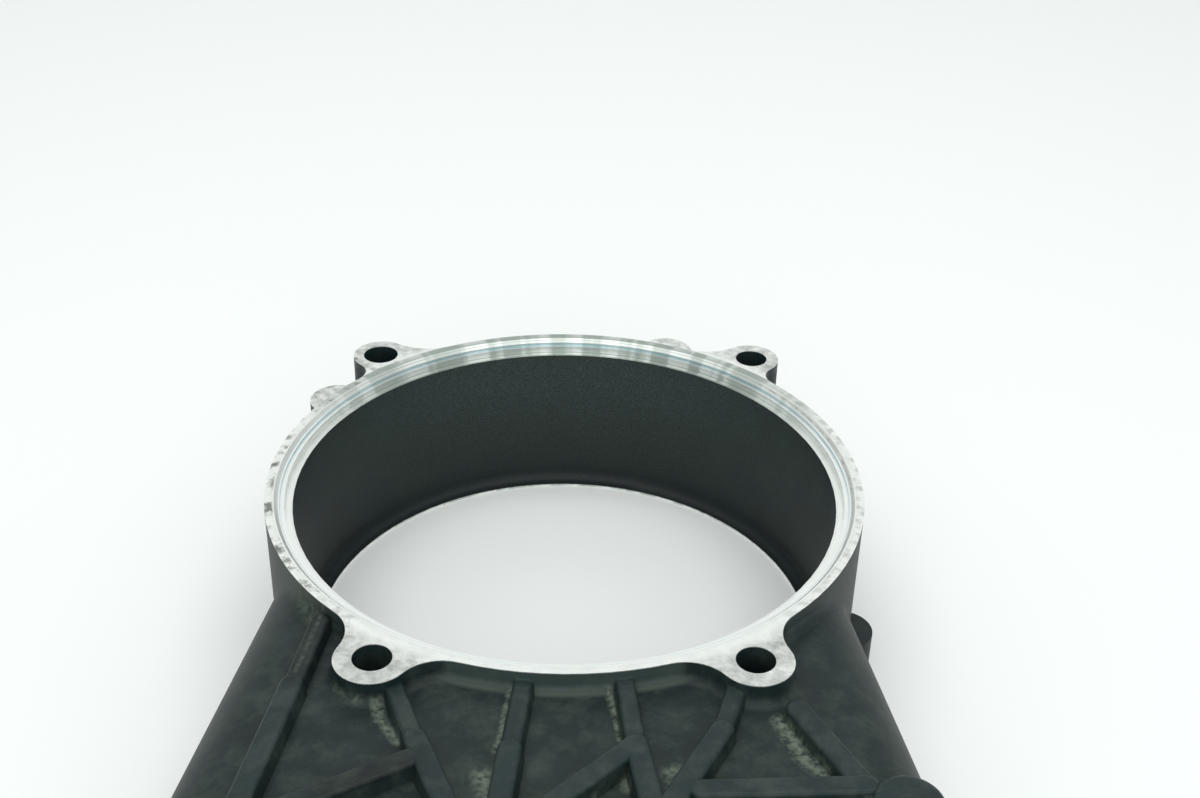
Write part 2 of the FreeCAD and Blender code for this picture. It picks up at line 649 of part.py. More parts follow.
def profile(sketch, corners):
    # a closed outline of straight lines, each corner a pair of sums of named sizes
    points = []
    for x_terms, y_terms in corners:
        points.append(vector(amount(x_terms), amount(y_terms), 0))
    count = len(points)
    for index in range(count):
        line = Part.LineSegment(points[index], points[(index + 1) % count])
        sketch.addGeometry(line, False)
    for index in range(count):
        sketch.addConstraint(Sketcher.Constraint("Coincident", index, 2, (index + 1) % count, 1))
    for index, (x_terms, y_terms) in enumerate(corners):
        if x_terms == "":
            sketch.addConstraint(Sketcher.Constraint("PointOnObject", index, 1, -2))
        else:
            sketch.addConstraint(Sketcher.Constraint("DistanceX", -1, 1, index, 1, points[index].x))
            sketch.setExpression("Constraints[" + str(sketch.ConstraintCount - 1) + "]", text_of(x_terms))
        if y_terms == "":
            sketch.addConstraint(Sketcher.Constraint("PointOnObject", index, 1, -1))
        else:
            sketch.addConstraint(Sketcher.Constraint("DistanceY", -1, 1, index, 1, points[index].y))
            sketch.setExpression("Constraints[" + str(sketch.ConstraintCount - 1) + "]", text_of(y_terms))


# Cover casting: the turned steps of the register, from the lead-in down to the bore
step_sketch = new_sketch(casting, "register_steps", "0", "XZ_Plane")
profile(step_sketch, [
    ("bore_radius -overcut", "overcut"),
    ("lead_in_radius", "overcut"),
    ("lead_in_radius", ""),
    ("lead_in_foot_radius", "-lead_in_depth"),
    ("ledge_radius", "-lead_in_depth"),
    ("ledge_radius", "-ledge_depth"),
    ("seat_radius", "-ledge_depth"),
    ("seat_radius", "-seat_depth"),
    ("bore_radius -overcut", "-seat_depth"),
])
steps = turned(casting, "register_seat", step_sketch, "Groove")


# Cover casting: the round boss on the right shoulder
stud_sketch = new_sketch(casting, "stud_boss_circle", "-Sizes.stud_boss_drop - Sizes.stud_boss_height")
placed_circle(stud_sketch, "stud_boss", "stud_boss_radius")
stud_boss = pad(casting, "stud_boss", stud_sketch, "Sizes.stud_boss_height")
stud_top = -mm("stud_boss_drop")


def on_stud_boss(point):
    # true on the rim of the boss's top
    centre = vector(mm("stud_boss_x"), mm("stud_boss_y"), point.z)
    return (point - centre).Length < mm("stud_boss_radius") + 0.1


stud_edges = edges_at(stud_boss, stud_top, on_stud_boss)
stud_round = rounded(casting, "stud_boss_rounding", stud_boss, stud_edges, "Sizes.stud_boss_round")


def slot_outline(sketch, start, end, radius, start_name, end_name, radius_text):
    # a bar with round ends between two named points
    along = (end - start).normalize()
    across = vector(-along.y, along.x, 0)
    start_circle = Part.Circle(start, upright, radius)
    end_circle = Part.Circle(end, upright, radius)
    lean = bearing_angle(along)
    sketch.addGeometry(Part.LineSegment(start + across * radius, end + across * radius), False)
    sketch.addGeometry(Part.ArcOfCircle(end_circle, lean - math.pi / 2, lean + math.pi / 2), False)
    sketch.addGeometry(Part.LineSegment(end - across * radius, start - across * radius), False)
    sketch.addGeometry(Part.ArcOfCircle(start_circle, lean + math.pi / 2, lean + 3 * math.pi / 2), False)
    sketch.addConstraint(Sketcher.Constraint("Tangent", 0, 2, 1, 2))
    sketch.addConstraint(Sketcher.Constraint("Tangent", 1, 1, 2, 1))
    sketch.addConstraint(Sketcher.Constraint("Tangent", 2, 2, 3, 2))
    sketch.addConstraint(Sketcher.Constraint("Tangent", 3, 1, 0, 1))
    sketch.addConstraint(Sketcher.Constraint("Radius", 1, radius))
    sketch.setExpression("Constraints[4]", radius_text)
    for arc, name, point in ((3, start_name, start), (1, end_name, end)):
        sketch.addConstraint(Sketcher.Constraint("DistanceX", -1, 1, arc, 3, point.x))
        sketch.setExpression("Constraints[" + str(sketch.ConstraintCount - 1) + "]", "Sizes." + name + "_x")
        sketch.addConstraint(Sketcher.Constraint("DistanceY", -1, 1, arc, 3, point.y))
        sketch.setExpression("Constraints[" + str(sketch.ConstraintCount - 1) + "]", "Sizes." + name + "_y")


def point_of(name):
    return vector(mm(name + "_x"), mm(name + "_y"), 0)


# Cover casting: the ribs of the floor, each rounded along its top; a low one is a step below the others
RIBS = [
    ("left_crest", "left_crest_knee", "low"),
    ("left_crest_knee", "left_crest_end", "full"),
    ("left_lug_root", "left_lug_knee", "low"),
    ("left_lug_knee", "lattice_end", "full"),
    ("left_cross_start", "left_cross_end", "full"),
    ("ring_left_root", "ring_left_knee", "low"),
    ("ring_left_knee", "ring_left_end", "full"),
    ("ring_right_root", "ring_right_knee", "low"),
    ("ring_right_knee", "ring_right_bend", "full"),
    ("ring_right_bend", "ring_right_end", "full"),
    ("ring_right_knee", "middle_cross_end", "full"),
    ("right_lug_root", "right_lug_knee", "low"),
    ("right_lug_knee", "lattice_end", "full"),
    ("right_cross_start", "right_cross_end", "full"),
    ("right_crest", "right_crest_end", "low"),
]
ribs = []
for start_name, end_name, level in RIBS:
    rib = new_body("rib_" + start_name + "_to_" + end_name)
    rib_sketch = new_sketch(rib, rib.Name + "_outline", "-Sizes.floor_drop - Sizes.rib_sink")
    width_name = "rib_width"
    drop_terms = "-rib_drop"
    if level == "low" and start_name != "right_crest":
        width_name = "low_rib_width"
    if level == "low":
        drop_terms = "-rib_drop -rib_step"
    half = mm(width_name) / 2
    slot_outline(
        rib_sketch, point_of(start_name), point_of(end_name), half,
        start_name, end_name, "Sizes." + width_name + " / 2",
    )
    rib_height = text_of("floor_drop rib_sink " + drop_terms)
    bar = pad(rib, rib.Name + "_bar", rib_sketch, rib_height, "-Sizes.rib_draft")
    tops = edges_at(bar, amount(drop_terms), lambda point: True)
    rounded(rib, rib.Name + "_rounding", bar, tops, "Sizes.rib_top_round")
    ribs.append(rib)
rib_union = casting.newObject("PartDesign::Boolean", "ribs")
rib_union.Type = "Fuse"
rib_union.addObjects(ribs)

# Cover casting: the mainshaft boss with its seats for the oil seal, the bearing and the clip
shaft_sketch = new_sketch(casting, "mainshaft_boss_circle", "-Sizes.bearing_boss_depth")
x_text = "-Sizes.mainshaft_offset"
y_text = "-Sizes.mainshaft_distance"
boss_terms = "bearing_pitch_radius bearing_half_section bearing_boss_wall"
circle_on(shaft_sketch, main_axis.x, main_axis.y, amount(boss_terms), x_text, y_text, text_of(boss_terms))
pad(casting, "mainshaft_boss", shaft_sketch, "Sizes.bearing_boss_depth - Sizes.bearing_boss_drop")
gearbox_sketch = new_sketch(casting, "gearbox_boss_circles", "-Sizes.lug_height")
for number in range(int(mm("gearbox_bolt_count"))):
    angle = 90 + number * 360 / mm("gearbox_bolt_count")
    angle_text = "90 + " + str(number) + " * 360 / Sizes.gearbox_bolt_count"
    polar_circle(
        gearbox_sketch, main_axis, mm("gearbox_bolt_radius"), "Sizes.gearbox_bolt_radius",
        angle, angle_text, "gearbox_boss_radius",
    )
gearbox_bosses = pad(casting, "gearbox_bosses", gearbox_sketch, "Sizes.lug_height - Sizes.bearing_boss_drop")
starter_sketch = new_sketch(casting, "starter_boss_circle", "-Sizes.starter_boss_depth")
placed_circle(starter_sketch, "starter", "starter_boss_radius")
pad(casting, "starter_boss", starter_sketch, "Sizes.starter_boss_depth - Sizes.starter_boss_drop")
bearing_top = "-bearing_boss_drop -seal_sink -seal_width -seat_shoulder_length"
bearing_foot = bearing_top + " -bearing_width"
clip_foot = bearing_foot + " -clip_thickness -clip_clearance"
shaft_seats = new_sketch(casting, "mainshaft_seats", "Sizes.mainshaft_distance", "XZ_Plane")
shaft_seats.setExpression(".AttachmentOffset.Base.x", "-Sizes.mainshaft_offset")
profile(shaft_seats, [
    ("", "overcut"),
    ("seal_outer_radius", "overcut"),
    ("seal_outer_radius", "-bearing_boss_drop -seal_sink -seal_width"),
    ("seat_shoulder_radius", "-bearing_boss_drop -seal_sink -seal_width"),
    ("seat_shoulder_radius", bearing_top),
    ("bearing_pitch_radius bearing_half_section", bearing_top),
    ("bearing_pitch_radius bearing_half_section", bearing_foot),
    ("bearing_pitch_radius bearing_half_section clip_groove_depth", bearing_foot),
    ("bearing_pitch_radius bearing_half_section clip_groove_depth", clip_foot),
    ("bearing_pitch_radius bearing_half_section", clip_foot),
    ("bearing_pitch_radius bearing_half_section", "-bearing_boss_depth -overcut"),
    ("", "-bearing_boss_depth -overcut"),
])
seats = turned(casting, "mainshaft_bore", shaft_seats, "Groove")

# Cover casting: the drilled holes
lug_holes = new_sketch(casting, "lug_hole_circles")
for name, (angle_text, angle) in LUGS.items():
    polar_circle(
        lug_holes, vector(0, 0, 0), mm("bolt_circle_radius"), "Sizes.bolt_circle_radius",
        angle, angle_text, "lug_hole_radius",
    )
pocket(casting, "lug_holes", lug_holes, "Sizes.lug_height + Sizes.overcut")
dowel_sketch = new_sketch(casting, "dowel_circle")
polar_circle(
    dowel_sketch, vector(0, 0, 0), mm("bolt_circle_radius"), "Sizes.bolt_circle_radius",
    LUGS["rear_left"][1], LUGS["rear_left"][0], "dowel_hole_radius",
)
pocket(casting, "dowel_hole", dowel_sketch, "Sizes.dowel_hole_depth")
gearbox_holes = new_sketch(casting, "gearbox_hole_circles")
for number in range(int(mm("gearbox_bolt_count"))):
    angle = 90 + number * 360 / mm("gearbox_bolt_count")
    angle_text = "90 + " + str(number) + " * 360 / Sizes.gearbox_bolt_count"
    polar_circle(
        gearbox_holes, main_axis, mm("gearbox_bolt_radius"), "Sizes.gearbox_bolt_radius",
        angle, angle_text, "gearbox_hole_radius",
    )
pocket(casting, "gearbox_holes", gearbox_holes, "Sizes.lug_height + Sizes.overcut")
starter_hole = new_sketch(casting, "starter_hole_circle")
placed_circle(starter_hole, "starter", "bushing_outer_radius")
pocket(casting, "starter_bore", starter_hole, "Sizes.starter_boss_depth + Sizes.overcut")
screw_holes = new_sketch(casting, "screw_hole_circles", "-Sizes.cover_depth + Sizes.screw_hole_depth")
rim_circles(screw_holes, "screw_hole_radius")
pocket(casting, "screw_holes", screw_holes, "Sizes.screw_hole_depth")


def place_body(body, x_text, y_text, z_text):
    # stands a body at a point whose height counts from the machined face
    body.setExpression("Placement.Base.x", x_text)
    body.setExpression("Placement.Base.y", y_text)
    body.setExpression("Placement.Base.z", "Sizes.seat_depth + " + z_text)


def on_mainshaft(body, z_terms):
    # stands a body on the mainshaft's axis, at a sum of named heights
    place_body(body, "-Sizes.mainshaft_offset", "-Sizes.mainshaft_distance", text_of(z_terms))


def turned_ring(name, corners, z_terms):
    # a ring turned from one profile about the mainshaft's axis
    body = new_body(name)
    sketch = new_sketch(body, name + "_profile", "0", "XZ_Plane")
    profile(sketch, corners)
    turned(body, name + "_turned", sketch, "Revolution")
    on_mainshaft(body, z_terms)
    return body


def race_groove(body, name):
    # the ball track, cut by a circle about the bearing's pitch circle at half its width
    sketch = new_sketch(body, name + "_track", "0", "XZ_Plane")
    radius = mm("race_radius")
    centre = vector(mm("bearing_pitch_radius"), -mm("bearing_width") / 2, 0)
    x_text = "Sizes.bearing_pitch_radius"
    y_text = "-Sizes.bearing_width / 2"
    circle_on(sketch, centre.x, centre.y, radius, x_text, y_text, "Sizes.race_radius")
    turned(body, name + "_race", sketch, "Groove")


place_body(casting, "0", "0", "0")

# Mainshaft ball bearing: rings of hardened steel, each standing at the shoulder of its seat
outer_ring = turned_ring("bearing_outer_ring", [
    ("bearing_pitch_radius race_offset", ""),
    ("bearing_pitch_radius bearing_half_section -bearing_seat_gap -bearing_chamfer", ""),
    ("bearing_pitch_radius bearing_half_section -bearing_seat_gap", "-bearing_chamfer"),
    ("bearing_pitch_radius bearing_half_section -bearing_seat_gap", "bearing_chamfer -bearing_width"),
    ("bearing_pitch_radius bearing_half_section -bearing_seat_gap -bearing_chamfer", "-bearing_width"),
    ("bearing_pitch_radius race_offset", "-bearing_width"),
], bearing_top)
race_groove(outer_ring, "outer")
inner_ring = turned_ring("bearing_inner_ring", [
    ("bearing_pitch_radius -bearing_half_section bearing_chamfer", ""),
    ("bearing_pitch_radius -race_offset", ""),
    ("bearing_pitch_radius -race_offset", "-bearing_width"),
    ("bearing_pitch_radius -bearing_half_section bearing_chamfer", "-bearing_width"),
    ("bearing_pitch_radius -bearing_half_section", "bearing_chamfer -bearing_width"),
    ("bearing_pitch_radius -bearing_half_section", "-bearing_chamfer"),
], bearing_top)
race_groove(inner_ring, "inner")

# Mainshaft ball bearing: the balls, one group of loose spheres on the pitch circle
balls = []
for number in range(int(mm("ball_count"))):
    ball = doc.addObject("Part::Sphere", "ball_" + str(number + 1))
    turn_text = "(90 deg + " + str(number) + " * 360 deg / Sizes.ball_count)"
    ball.setExpression("Radius", "Sizes.ball_radius")
    place_body(
        ball,
        "-Sizes.mainshaft_offset + Sizes.bearing_pitch_radius * cos" + turn_text,
        "-Sizes.mainshaft_distance + Sizes.bearing_pitch_radius * sin" + turn_text,
        text_of(bearing_top) + " - Sizes.bearing_width / 2",
    )
    balls.append(ball)
ball_group = doc.addObject("Part::Compound", "bearing_balls")
ball_group.Label = "bearing_balls"
ball_group.Links = balls

# Mainshaft ball bearing: the cage, a thin ring with a round pocket for each ball
cage = new_body("bearing_cage")
cage_sketch = new_sketch(cage, "cage_circles", "-Sizes.bearing_width / 2 - Sizes.cage_width / 2")
for side, sign in ((1, " + "), (-1, " - ")):
    radius_text = "Sizes.bearing_pitch_radius" + sign + "Sizes.cage_thickness / 2"
    radius = mm("bearing_pitch_radius") + side * mm("cage_thickness") / 2
    circle_on(cage_sketch, 0, 0, radius, "0", "0", radius_text)
pad(cage, "cage_ring", cage_sketch, "Sizes.cage_width")
pocket_sketch = new_sketch(cage, "cage_pocket_circle", "0", "XZ_Plane")
pocket_level = -mm("bearing_width") / 2
pocket_text = "-Sizes.bearing_width / 2"
pocket_radius = mm("cage_pocket_radius")
circle_on(pocket_sketch, 0, pocket_level, pocket_radius, "0", pocket_text, "Sizes.cage_pocket_radius")
cage_pocket = pocket(cage, "cage_pocket", pocket_sketch, "Sizes.bearing_pitch_radius + Sizes.cage_thickness")
cage_pattern = cage.newObject("PartDesign::PolarPattern", "cage_pockets")
cage_pattern.Originals = [cage_pocket]
cage_pattern.Axis = (plane_of(cage, "Z_Axis"), [""])
cage_pattern.Angle = 360
cage_pattern.setExpression("Occurrences", "Sizes.ball_count")
cage.Tip = cage_pattern
on_mainshaft(cage, bearing_top)

# Clip that holds the bearing in its seat: an open spring ring with an eye at each end
clip = new_body("bearing_retaining_ring")
clip_sketch = new_sketch(clip, "clip_outline")
clip_terms = "bearing_pitch_radius bearing_half_section clip_groove_depth -clip_clearance"
clip_outer = amount(clip_terms)
clip_inner = clip_outer - mm("clip_width")
half_gap = math.radians(mm("clip_gap_angle") / 2)
clip_start = -math.pi / 2 + half_gap
clip_end = 3 * math.pi / 2 - half_gap
start_ray = vector(math.cos(clip_start), math.sin(clip_start), 0)
end_ray = vector(math.cos(clip_end), math.sin(clip_end), 0)
origin = vector(0, 0, 0)
outer_circle = Part.Circle(origin, upright, clip_outer)
inner_circle = Part.Circle(origin, upright, clip_inner)
clip_sketch.addGeometry(Part.ArcOfCircle(outer_circle, clip_start, clip_end), False)
clip_sketch.addGeometry(Part.LineSegment(end_ray * clip_outer, end_ray * clip_inner), False)
clip_sketch.addGeometry(Part.ArcOfCircle(inner_circle, clip_start, clip_end), False)
clip_sketch.addGeometry(Part.LineSegment(start_ray * clip_inner, start_ray * clip_outer), False)
clip_sketch.addConstraint(Sketcher.Constraint("Coincident", 0, 3, -1, 1))
clip_sketch.addConstraint(Sketcher.Constraint("Coincident", 2, 3, -1, 1))
clip_sketch.addConstraint(Sketcher.Constraint("Coincident", 0, 2, 1, 1))
clip_sketch.addConstraint(Sketcher.Constraint("Coincident", 1, 2, 2, 2))
clip_sketch.addConstraint(Sketcher.Constraint("Coincident", 2, 1, 3, 1))
clip_sketch.addConstraint(Sketcher.Constraint("Coincident", 3, 2, 0, 1))
clip_sketch.addConstraint(Sketcher.Constraint("Radius", 0, clip_outer))
clip_sketch.setExpression("Constraints[6]", text_of(clip_terms))
clip_sketch.addConstraint(Sketcher.Constraint("Radius", 2, clip_inner))
clip_sketch.setExpression("Constraints[7]", text_of(clip_terms + " -clip_width"))
eye_reach = (clip_outer + clip_inner) / 2
eye_swing = half_gap + mm("clip_width") / 2 / eye_reach
for side in (-1, 1):
    eye_angle = -math.pi / 2 + side * eye_swing
    eye_centre = vector(eye_reach * math.cos(eye_angle), eye_reach * math.sin(eye_angle), 0)
    eye = Part.Circle(eye_centre, upright, mm("clip_eye_radius"))
    index = clip_sketch.addGeometry(eye, False)
    clip_sketch.addConstraint(Sketcher.Constraint("Radius", index, mm("clip_eye_radius")))
    eye_constraint = "Constraints[" + str(clip_sketch.ConstraintCount - 1) + "]"
    clip_sketch.setExpression(eye_constraint, "Sizes.clip_eye_radius")
pad(clip, "clip_blank", clip_sketch, "Sizes.clip_thickness")
on_mainshaft(clip, clip_foot + " clip_clearance")

# Mainshaft oil seal: a pressed steel case, the rubber lip moulded on it and its garter spring
seal_top = "-bearing_boss_drop -seal_sink"
seal_case = turned_ring("seal_case", [
    ("seal_outer_radius -bearing_seat_gap -seal_case_reach", ""),
    ("seal_outer_radius -bearing_seat_gap", ""),
    ("seal_outer_radius -bearing_seat_gap", "-seal_width"),
    ("seal_outer_radius -bearing_seat_gap -seal_case_thickness", "-seal_width"),
    ("seal_outer_radius -bearing_seat_gap -seal_case_thickness", "-seal_case_thickness"),
    ("seal_outer_radius -bearing_seat_gap -seal_case_reach", "-seal_case_thickness"),
], seal_top)
seal_lip = turned_ring("seal_lip", [
    ("seal_lip_radius seal_case_thickness", ""),
    ("seal_outer_radius -bearing_seat_gap -seal_case_reach", ""),
    ("seal_outer_radius -bearing_seat_gap -seal_case_reach", "-seal_web_thickness"),
    ("seal_lip_radius seal_web_thickness", "-seal_web_thickness"),
    ("seal_lip_radius seal_web_thickness", "seal_case_thickness -seal_width"),
    ("seal_lip_radius seal_case_thickness", "seal_case_thickness -seal_width"),
    ("seal_lip_radius", "-seal_web_thickness -seal_spring_radius"),
], seal_top)

seal_spring = new_body("seal_spring")
spring_sketch = new_sketch(seal_spring, "spring_circle", "0", "XZ_Plane")
spring_centre = vector(
    amount("seal_lip_radius seal_web_thickness seal_spring_radius seal_spring_gap"),
    amount("seal_case_thickness seal_spring_radius seal_spring_gap -seal_width"), 0,
)
circle_on(
    spring_sketch, spring_centre.x, spring_centre.y, mm("seal_spring_radius"),
    text_of("seal_lip_radius seal_web_thickness seal_spring_radius seal_spring_gap"),
    text_of("seal_case_thickness seal_spring_radius seal_spring_gap -seal_width"),
    "Sizes.seal_spring_radius",
)
turned(seal_spring, "spring_coil", spring_sketch, "Revolution")
on_mainshaft(seal_spring, seal_top)

# Starter shaft bushing: a plain bronze tube pressed into its boss
bushing = new_body("starter_shaft_bushing")
bushing_sketch = new_sketch(bushing, "bushing_circles")
bushing_radius = amount("bushing_outer_radius -bearing_seat_gap")
circle_on(
    bushing_sketch, 0, 0, bushing_radius,
    "0", "0", text_of("bushing_outer_radius -bearing_seat_gap"),
)
circle_on(bushing_sketch, 0, 0, mm("bushing_bore_radius"), "0", "0", "Sizes.bushing_bore_radius")
pad(bushing, "bushing_tube", bushing_sketch, "Sizes.bushing_length")
place_body(
    bushing, "Sizes.starter_x", "Sizes.starter_y",
    text_of("-starter_boss_drop -bushing_sink -bushing_length"),
)

doc.recompute()
bad = [item.Name for item in doc.Objects if "Invalid" in item.State or "Error" in item.State]
if bad:
    raise RuntimeError("failed: " + " ".join(bad))
nodes = [
    casting, outer_ring, inner_ring, ball_group, cage, clip,
    seal_case, seal_lip, seal_spring, bushing,
]
for node in nodes:
    if node.Shape.isNull() or not node.Shape.isValid():
        raise RuntimeError("bad shape: " + node.Label)
    print(node.Label, len(node.Shape.Solids), round(node.Shape.Volume), len(node.Shape.Faces))
    node.Shape.exportStep("parts/" + node.Label + ".step")
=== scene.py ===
import math

import bpy
from mathutils import Matrix, Vector


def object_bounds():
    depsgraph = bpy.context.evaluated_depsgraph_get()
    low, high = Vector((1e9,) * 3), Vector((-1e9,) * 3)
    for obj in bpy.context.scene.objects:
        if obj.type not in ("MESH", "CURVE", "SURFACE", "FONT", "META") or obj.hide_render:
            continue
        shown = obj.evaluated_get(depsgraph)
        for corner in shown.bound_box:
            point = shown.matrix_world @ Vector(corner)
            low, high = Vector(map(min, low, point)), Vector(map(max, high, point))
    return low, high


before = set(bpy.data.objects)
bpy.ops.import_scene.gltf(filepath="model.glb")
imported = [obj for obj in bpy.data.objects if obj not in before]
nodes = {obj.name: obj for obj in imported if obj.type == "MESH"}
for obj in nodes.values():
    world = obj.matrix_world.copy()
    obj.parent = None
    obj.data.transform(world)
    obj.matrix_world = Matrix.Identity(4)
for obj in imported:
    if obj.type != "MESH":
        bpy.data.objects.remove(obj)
box_low, box_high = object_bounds()


# Cover casting.
# The cover is one die casting in aluminium. It is powder coated in satin black with a fine tooth,
# and then turned and milled bright where it meets the engine and the outer cover.
MM = 0.001


def linear(hex_colour):
    """The sRGB hex value as linear red, green, blue and alpha."""
    channels = [int(hex_colour[i:i + 2], 16) / 255 for i in (1, 3, 5)]
    return [c / 12.92 if c <= 0.04045 else ((c + 0.055) / 1.055) ** 2.4 for c in channels] + [1.0]


def feed(socket, value):
    """Links the socket where the value is another node's output, and sets it where it is a number or colour."""
    if isinstance(value, bpy.types.NodeSocket):
        socket.id_data.links.new(value, socket)
    else:
        socket.default_value = value


def add(kind, *values, **named):
    """Adds a node with its settings and links to the open material, and gives back its first output in use.

    The values go to the inputs in use, in their order. A named value goes to the input of that name,
    or sets the node's own property where no input has the name. A kind in capitals is an operation of
    arithmetic, which is carried on through all the values: MULTIPLY says where all the shares hold,
    and MAXIMUM where any of them holds.
    """
    if kind.isupper():
        while len(values) > 2:
            values = (add(kind, *values[:2]), *values[2:])
        kind, named = "Math", {"operation": kind}
    node = tree.nodes.new("ShaderNode" + kind)
    for name, value in named.items():
        if name not in node.inputs:
            setattr(node, name, value)
    for name, value in named.items():
        if name in node.inputs:
            feed(node.inputs[name], value)
    for socket, value in zip([socket for socket in node.inputs if socket.enabled], values):
        feed(socket, value)
    return next(socket for socket in node.outputs if socket.enabled)


def open_material(name):
    """Starts a named material with its shader and the piece's own coordinates in millimetres."""
    global material, tree, shader, spot
    material = bpy.data.materials.new(name)
    material.use_nodes = True
    tree = material.node_tree
    tree.nodes.clear()
    shader = tree.nodes.new("ShaderNodeBsdfPrincipled")
    feed(tree.nodes.new("ShaderNodeOutputMaterial").inputs["Surface"], shader.outputs[0])
    own = tree.nodes.new("ShaderNodeTexCoord").outputs["Object"]
    spot = add("VectorMath", own, 1 / MM, operation="SCALE")


def dress(pieces, **surface):
    """Feeds the open material's shader and gives the material to the pieces."""
    for name, value in surface.items():
        feed(shader.inputs[name.replace("_", " ")], value)
    for piece in pieces:
        nodes[piece].data.materials.clear()
        nodes[piece].data.materials.append(material)


def between(value, low, high):
    """1 from low to high and 0 from a tenth of a millimetre outside them."""
    return add("MULTIPLY", add("MapRange", value, low - 0.1, low), add("MapRange", value, high + 0.1, high))


def reach_from(centre):
    """The distance in plan from a point of the cover: the length of the flattened offset."""
    offset = add("VectorMath", spot, centre, operation="SUBTRACT")
    flat = add("VectorMath", offset, (1, 1, 0), operation="MULTIPLY")
    return add("VectorMath", flat, operation="LENGTH")


def disc(centre, radius):
    """1 inside a circle in plan, with an edge of 0.2 mm."""
    return add("MapRange", reach_from(centre), radius + 0.2, radius)


def streak(start, end, half_width):
    """1 on a line in plan and 0 past its half width: the distance to the nearest point of the line."""
    start = Vector(start).to_3d()
    along = Vector(end).to_3d() - start
    offset = add("VectorMath", spot, start, operation="SUBTRACT")
    flat = add("VectorMath", offset, (1, 1, 0), operation="MULTIPLY")
    share = add("MapRange", add("VectorMath", flat, along, operation="DOT_PRODUCT"), 0.0, along.length_squared)
    run = add("VectorMath", along, share, operation="SCALE")
    away = add("VectorMath", add("VectorMath", flat, run, operation="SUBTRACT"), operation="LENGTH")
    return add("MapRange", away, half_width, 0.2 * half_width)


# The levels, radii and places of the casting's faces, in millimetres
face_level, pad_level, boss_level, rib_level, floor_level = 3.9, 2.7, 2.9, 2.7, -2.1
rim_level = box_low.z / MM
ring_radius, bore_radius, lead_in_radius, upper_step_radius = 87.8, 80.0, 85.2, 83.5
boss_line = -169.0
pad_reach, pad_radius, pad_angles = 85.9, 9.0, (148.2, 66.9)
shaft_axis, shaft_seat_radius = (-4.0, -243.0, 0.0), 33.0
starter_axis, starter_hole_radius = (58.0, -196.0, 0.0), 11.0

open_material("powder coated cast aluminium")
x, y, z = add("SeparateXYZ", spot).node.outputs
reach = reach_from((0, 0, 0))
patches = add("TexNoise", spot, 1 / 3.0, 5.0, 0.62)
clouds = add("TexNoise", spot, 1 / 14.0, 5.0, 0.6)
smears = add("TexNoise", spot, 1 / 9.0, 4.0, 0.6)
blotches = add("TexNoise", spot, 1 / 3.2, 3.0, 0.55)

# where the casting is machined bright; the ragged edge of the coat wanders by a tenth of a millimetre
wander = add("MULTIPLY", add("ADD", add("TexNoise", spot, 1 / 1.2, 2.0), -0.5), 0.25)
ragged_z = add("ADD", z, wander)
ring_face = add("MapRange", ragged_z, face_level - 0.24, face_level - 0.14)
inside_ring = add("MapRange", reach, ring_radius - 0.3, ring_radius - 0.4)
ring_steps = add("MULTIPLY", add("MapRange", z, -0.06, -0.02), inside_ring)
pad_turns = [math.radians(angle) for angle in pad_angles]
pads = [disc((pad_reach * math.cos(turn), pad_reach * math.sin(turn), 0.0), pad_radius) for turn in pad_turns]
pad_tops = add("MULTIPLY", add("MapRange", z, pad_level - 0.1, pad_level - 0.05), add("MAXIMUM", *pads))
boss_tops = add(
    "MULTIPLY",
    add("MapRange", z, boss_level - 0.1, boss_level - 0.05), add("MapRange", y, boss_line + 1, boss_line - 1),
)
gasket_rim = add("MapRange", ragged_z, rim_level + 0.8, rim_level + 0.6)
bare = add(
    "MAXIMUM", ring_face, ring_steps, pad_tops, boss_tops, gasket_rim,
    disc(shaft_axis, shaft_seat_radius), disc(starter_axis, starter_hole_radius),
)
coated = add("SUBTRACT", 1.0, bare)

# coat: clouded by handling; painted shade darkens the left crest rib's low end and the left diagonal rib, and
# painted light brightens the ring's front wall; the bore's wall is finely speckled and painted lighter at the
# back and near the mouth as painted light, and painted darker at its foot as painted shade
outside_ring = add("MapRange", reach, ring_radius, ring_radius + 2)
rib_tops = add("MULTIPLY", add("MapRange", z, rib_level - 2.0, rib_level - 0.6), outside_ring)
# painted shade: the left crest rib's low end and the top of the left diagonal rib are painted darker where
# shade falls
low_crest = streak((-64.0, -60.0), (-67.5, -88.0), 5.5)
left_diagonal = add("MULTIPLY", streak((-53.0, -126.9), (-38.5, -117.6), 9.0), rib_tops)
# painted light: the ring's front wall is painted lighter to stand in for the light that falls on it
lit_front_wall = add(
    "MULTIPLY", add("MapRange", reach, ring_radius + 0.9, ring_radius + 0.3),
    add("MapRange", z, -2.4, -1.0), add("MapRange", y, -55.0, -75.0),
)
# painted light: the bore's back wall is painted lighter, more towards the mouth
lit_bore_back = add(
    "MULTIPLY", add("MapRange", reach, bore_radius + 2, bore_radius + 1),
    add("MapRange", y, 10.0, 75.0), add("MapRange", z, -44.0, -6.0, 0.5, 1.0),
)
# painted shade: the bore's wall is painted darker towards its foot
bore_foot = add(
    "MULTIPLY", add("MapRange", reach, ring_radius + 0.2, ring_radius - 1.8),
    add("MapRange", z, -12.0, -50.0), add("MapRange", y, -40.0, -20.0),
)
# a fine speckle in colours lighter than the coat, used as painted light on the bore's back wall
speckle = add("MapRange", add("TexNoise", spot, 1 / 0.5, 3.0, 0.6), 0.35, 0.65)
speckled_lit_coat = add("Mix", speckle, linear("#1f2a28"), linear("#384542"), data_type="RGBA")

